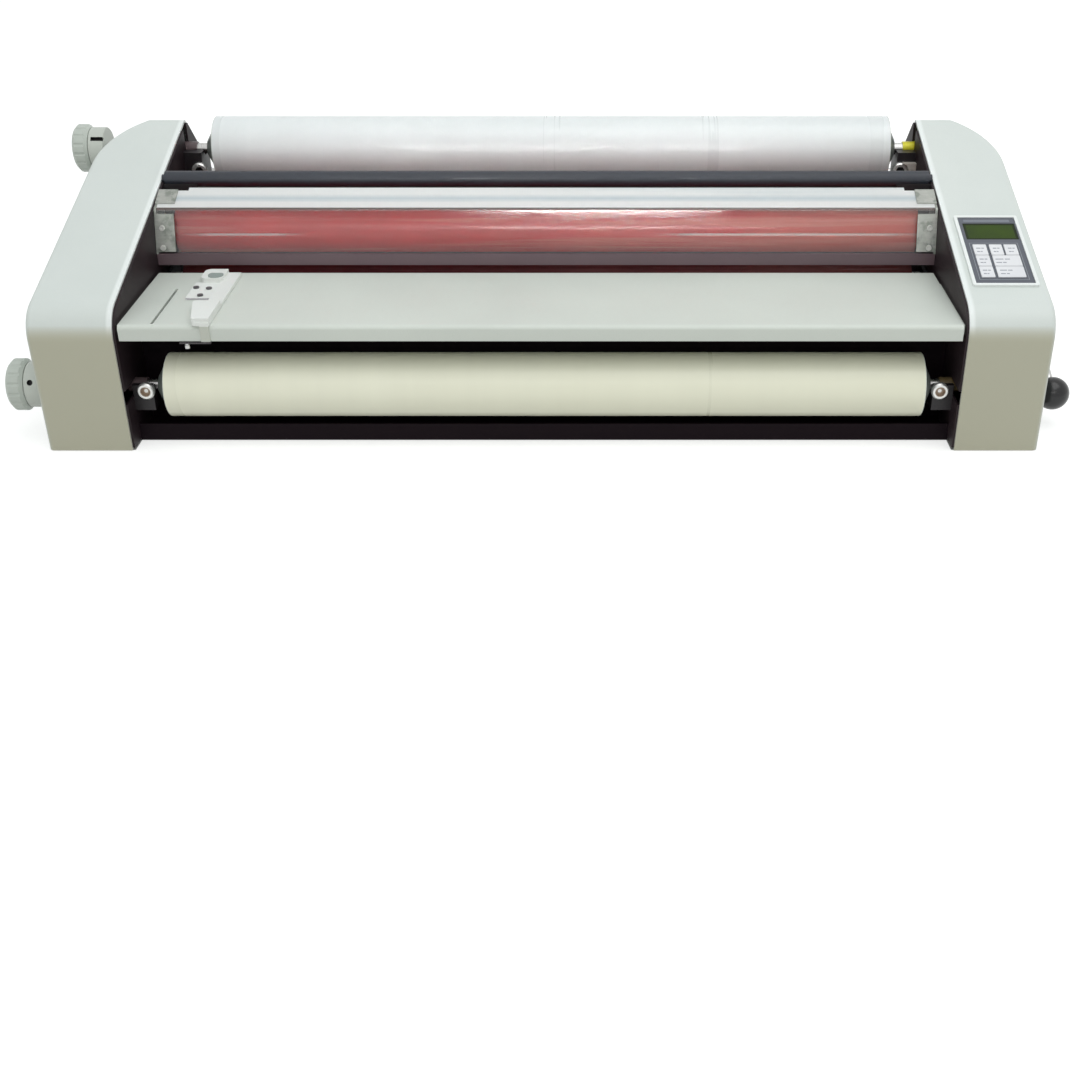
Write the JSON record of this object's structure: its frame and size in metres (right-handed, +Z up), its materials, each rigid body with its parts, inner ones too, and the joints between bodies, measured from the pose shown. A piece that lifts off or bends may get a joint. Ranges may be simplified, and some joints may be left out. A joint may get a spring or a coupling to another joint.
{
  "type": "roll laminator",
  "caption": "Table-top roll laminator with heated and pulling rollers, film rolls above and below a feed table, a clear tilting shield, a lever and a key panel.",
  "frame": {"origin": "on the table the machine stands on, under the middle between the side plates and half way along its depth", "axes": "+X to the right of a person at the feed table, +Y away from that person along the feed, +Z up"},
  "size_m": [0.9568, 0.39, 0.2243],
  "materials": {
    "cover_shell": "fine matt grain, pale warm grey",
    "frame_paint": "semi-matt black powder coat with a brown cast",
    "table_paint": "pale grey powder coat",
    "panel_paint": "semi-matt black powder coat",
    "bright_steel": "turned and lightly oiled",
    "dark_steel": "blackened",
    "bar_finish": "dark anodised",
    "silicone_red": "smooth dark red silicone",
    "roller_grey": "thin dark rubber coat on steel",
    "bush_brass": "turned brass",
    "gear_nylon": "natural nylon",
    "pinion_steel": "machined",
    "motor_paint": "cast grey",
    "support_black": "black nylon",
    "chuck_dark": "dark nylon",
    "film_white": "milky film wound on a card core",
    "knob_grey": "pale grey moulding",
    "ball_black": "polished black",
    "shield_clear": "clear acrylic sheet",
    "bracket_metal": "zinc plated",
    "trim_dark": "dark strip",
    "guide_white": "off-white moulding",
    "board_green": "board with switches",
    "overlay_slate": "dark slate printed sheet",
    "lcd_green": "backlit green screen",
    "key_white": "off-white keys",
    "supply_metal": "folded sheet case",
    "inlet_black": "black moulding",
    "rocker_red": "red rocker",
    "foot_rubber": "black rubber"
  },
  "bodies": {
    "frame": {"side_plate_left": "frame_paint", "side_plate_right": "frame_paint", "side_cover_left": "cover_shell", "side_cover_right": "cover_shell", "base_pan": "panel_paint", "rear_panel": "table_paint", "feed_table": "table_paint", "frame_rods": "bright_steel", "roller_bushes": "bush_brass", "shaft_supports": "support_black", "retainer_screws": "dark_steel", "rubber_feet": "foot_rubber", "cover_screws": "bright_steel", "drive_motor": "motor_paint", "control_board": "board_green", "power_supply": "supply_metal", "power_inlet": "inlet_black", "panel_overlay": "overlay_slate", "lcd_window": "lcd_green", "upper_heater": "bright_steel"},
    "upper_heat": {"upper_heat_roller": "bright_steel", "upper_heat_sleeve": "silicone_red", "upper_heat_gear": "gear_nylon"},
    "lower_carriage": {"lower_bearing_blocks": "dark_steel", "lower_heater": "bright_steel"},
    "lower_heat": {"lower_heat_roller": "bright_steel", "lower_heat_sleeve": "silicone_red", "lower_heat_gear": "gear_nylon"},
    "upper_pull": {"upper_pull_roller": "roller_grey", "upper_pull_gear": "gear_nylon"},
    "lower_pull": {"lower_pull_roller": "roller_grey", "lower_pull_gear": "gear_nylon"},
    "drive_idler": {"drive_idler_gear": "gear_nylon"},
    "motor_shaft": {"motor_pinion": "pinion_steel"},
    "lever": {"pressure_shaft": "bright_steel", "pressure_lever": "bright_steel", "lever_ball": "ball_black"},
    "shield": {"shield_window": "shield_clear", "shield_brackets": "bracket_metal", "shield_trim": "trim_dark"},
    "upper_supply": {"upper_supply_shaft": "bright_steel", "upper_film_roll": "film_white", "upper_core_chucks": "chuck_dark"},
    "upper_knob": {"upper_tension_knob": "knob_grey"},
    "lower_supply": {"lower_supply_shaft": "bright_steel", "lower_film_roll": "film_white", "lower_core_chucks": "chuck_dark"},
    "lower_knob": {"lower_tension_knob": "knob_grey"},
    "upper_idler": {"upper_idler_bar": "bar_finish"},
    "lower_idler": {"lower_idler_bar": "bar_finish"},
    "guide": {"paper_guide": "guide_white", "guide_clamp_screw": "bright_steel"},
    "rocker": {"power_rocker": "rocker_red"},
    "key_1": {"key_1": "key_white"},
    "key_2": {"key_2": "key_white"},
    "key_3": {"key_3": "key_white"},
    "key_4": {"key_4": "key_white"},
    "key_5": {"key_5": "key_white"},
    "key_6": {"key_6": "key_white"},
    "key_7": {"key_7": "key_white"}
  },
  "joints": [
    {"name": "upper_heat_spin", "type": "hinge", "parent": "frame", "child": "upper_heat", "pos_m": [0, -0.007, 0.1453], "axis": [1, 0, 0], "continuous": true},
    {"name": "lower_carriage_drop", "type": "slide", "parent": "frame", "child": "lower_carriage", "axis": [0, 0, -1], "range_m": [0, 0.005]},
    {"name": "lower_heat_spin", "type": "hinge", "parent": "lower_carriage", "child": "lower_heat", "pos_m": [0, -0.007, 0.0913], "axis": [1, 0, 0], "continuous": true},
    {"name": "upper_pull_spin", "type": "hinge", "parent": "frame", "child": "upper_pull", "pos_m": [0, 0.101, 0.1383], "axis": [1, 0, 0], "continuous": true},
    {"name": "lower_pull_spin", "type": "hinge", "parent": "frame", "child": "lower_pull", "pos_m": [0, 0.101, 0.0983], "axis": [1, 0, 0], "continuous": true},
    {"name": "drive_idler_spin", "type": "hinge", "parent": "frame", "child": "drive_idler", "pos_m": [-0.3805, 0.04979, 0.12929], "axis": [1, 0, 0], "continuous": true},
    {"name": "motor_spin", "type": "hinge", "parent": "frame", "child": "motor_shaft", "pos_m": [-0.3805, 0.04979, 0.07729], "axis": [1, 0, 0], "continuous": true},
    {"name": "lever_turn", "type": "hinge", "parent": "frame", "child": "lever", "pos_m": [0, -0.055, 0.1], "axis": [-1, 0, 0], "range_deg": [0, 80]},
    {"name": "shield_tilt", "type": "hinge", "parent": "frame", "child": "shield", "pos_m": [0, -0.0085, 0.1755], "axis": [-1, 0, 0], "range_deg": [0, 90]},
    {"name": "upper_supply_spin", "type": "hinge", "parent": "frame", "child": "upper_supply", "pos_m": [0, 0.1025, 0.1933], "axis": [1, 0, 0], "continuous": true},
    {"name": "upper_tension_turn", "type": "hinge", "parent": "upper_supply", "child": "upper_knob", "pos_m": [-0.468, 0.1025, 0.1933], "axis": [1, 0, 0], "range_deg": [-180, 180]},
    {"name": "lower_supply_spin", "type": "hinge", "parent": "frame", "child": "lower_supply", "pos_m": [0, -0.1617, 0.0507], "axis": [1, 0, 0], "continuous": true},
    {"name": "lower_tension_turn", "type": "hinge", "parent": "lower_supply", "child": "lower_knob", "pos_m": [-0.468, -0.1617, 0.0507], "axis": [1, 0, 0], "range_deg": [-180, 180]},
    {"name": "upper_idler_spin", "type": "hinge", "parent": "frame", "child": "upper_idler", "pos_m": [0, 0.011, 0.188], "axis": [1, 0, 0], "continuous": true},
    {"name": "lower_idler_spin", "type": "hinge", "parent": "frame", "child": "lower_idler", "pos_m": [0, -0.111, 0.097], "axis": [1, 0, 0], "continuous": true},
    {"name": "guide_slide", "type": "slide", "parent": "frame", "child": "guide", "axis": [1, 0, 0], "range_m": [-0.03, 0.3]},
    {"name": "power_rock", "type": "hinge", "parent": "frame", "child": "rocker", "pos_m": [0.285, 0.1835, 0.056], "axis": [1, 0, 0], "range_deg": [0, 16]},
    {"name": "key_1_press", "type": "slide", "parent": "frame", "child": "key_1", "axis": [0, 0.2882, -0.9576], "range_m": [0, 0.0006], "stiffness_N_per_m": 1500},
    {"name": "key_2_press", "type": "slide", "parent": "frame", "child": "key_2", "axis": [0, 0.2882, -0.9576], "range_m": [0, 0.0006], "stiffness_N_per_m": 1500},
    {"name": "key_3_press", "type": "slide", "parent": "frame", "child": "key_3", "axis": [0, 0.2882, -0.9576], "range_m": [0, 0.0006], "stiffness_N_per_m": 1500},
    {"name": "key_4_press", "type": "slide", "parent": "frame", "child": "key_4", "axis": [0, 0.2882, -0.9576], "range_m": [0, 0.0006], "stiffness_N_per_m": 1500},
    {"name": "key_5_press", "type": "slide", "parent": "frame", "child": "key_5", "axis": [0, 0.2882, -0.9576], "range_m": [0, 0.0006], "stiffness_N_per_m": 1500},
    {"name": "key_6_press", "type": "slide", "parent": "frame", "child": "key_6", "axis": [0, 0.2882, -0.9576], "range_m": [0, 0.0006], "stiffness_N_per_m": 1500},
    {"name": "key_7_press", "type": "slide", "parent": "frame", "child": "key_7", "axis": [0, 0.2882, -0.9576], "range_m": [0, 0.0006], "stiffness_N_per_m": 1500}
  ],
  "couplings": [
    {"joint": "lower_heat_spin", "follows": "upper_heat_spin", "ratio": -1},
    {"joint": "upper_pull_spin", "follows": "upper_heat_spin", "ratio": 1.35},
    {"joint": "lower_pull_spin", "follows": "upper_heat_spin", "ratio": -1.35},
    {"joint": "drive_idler_spin", "follows": "upper_heat_spin", "ratio": -0.84375},
    {"joint": "motor_spin", "follows": "upper_heat_spin", "ratio": 1.35},
    {"joint": "lower_carriage_drop", "follows": "lever_turn", "m_per_rad": 0.003581}
  ]
}
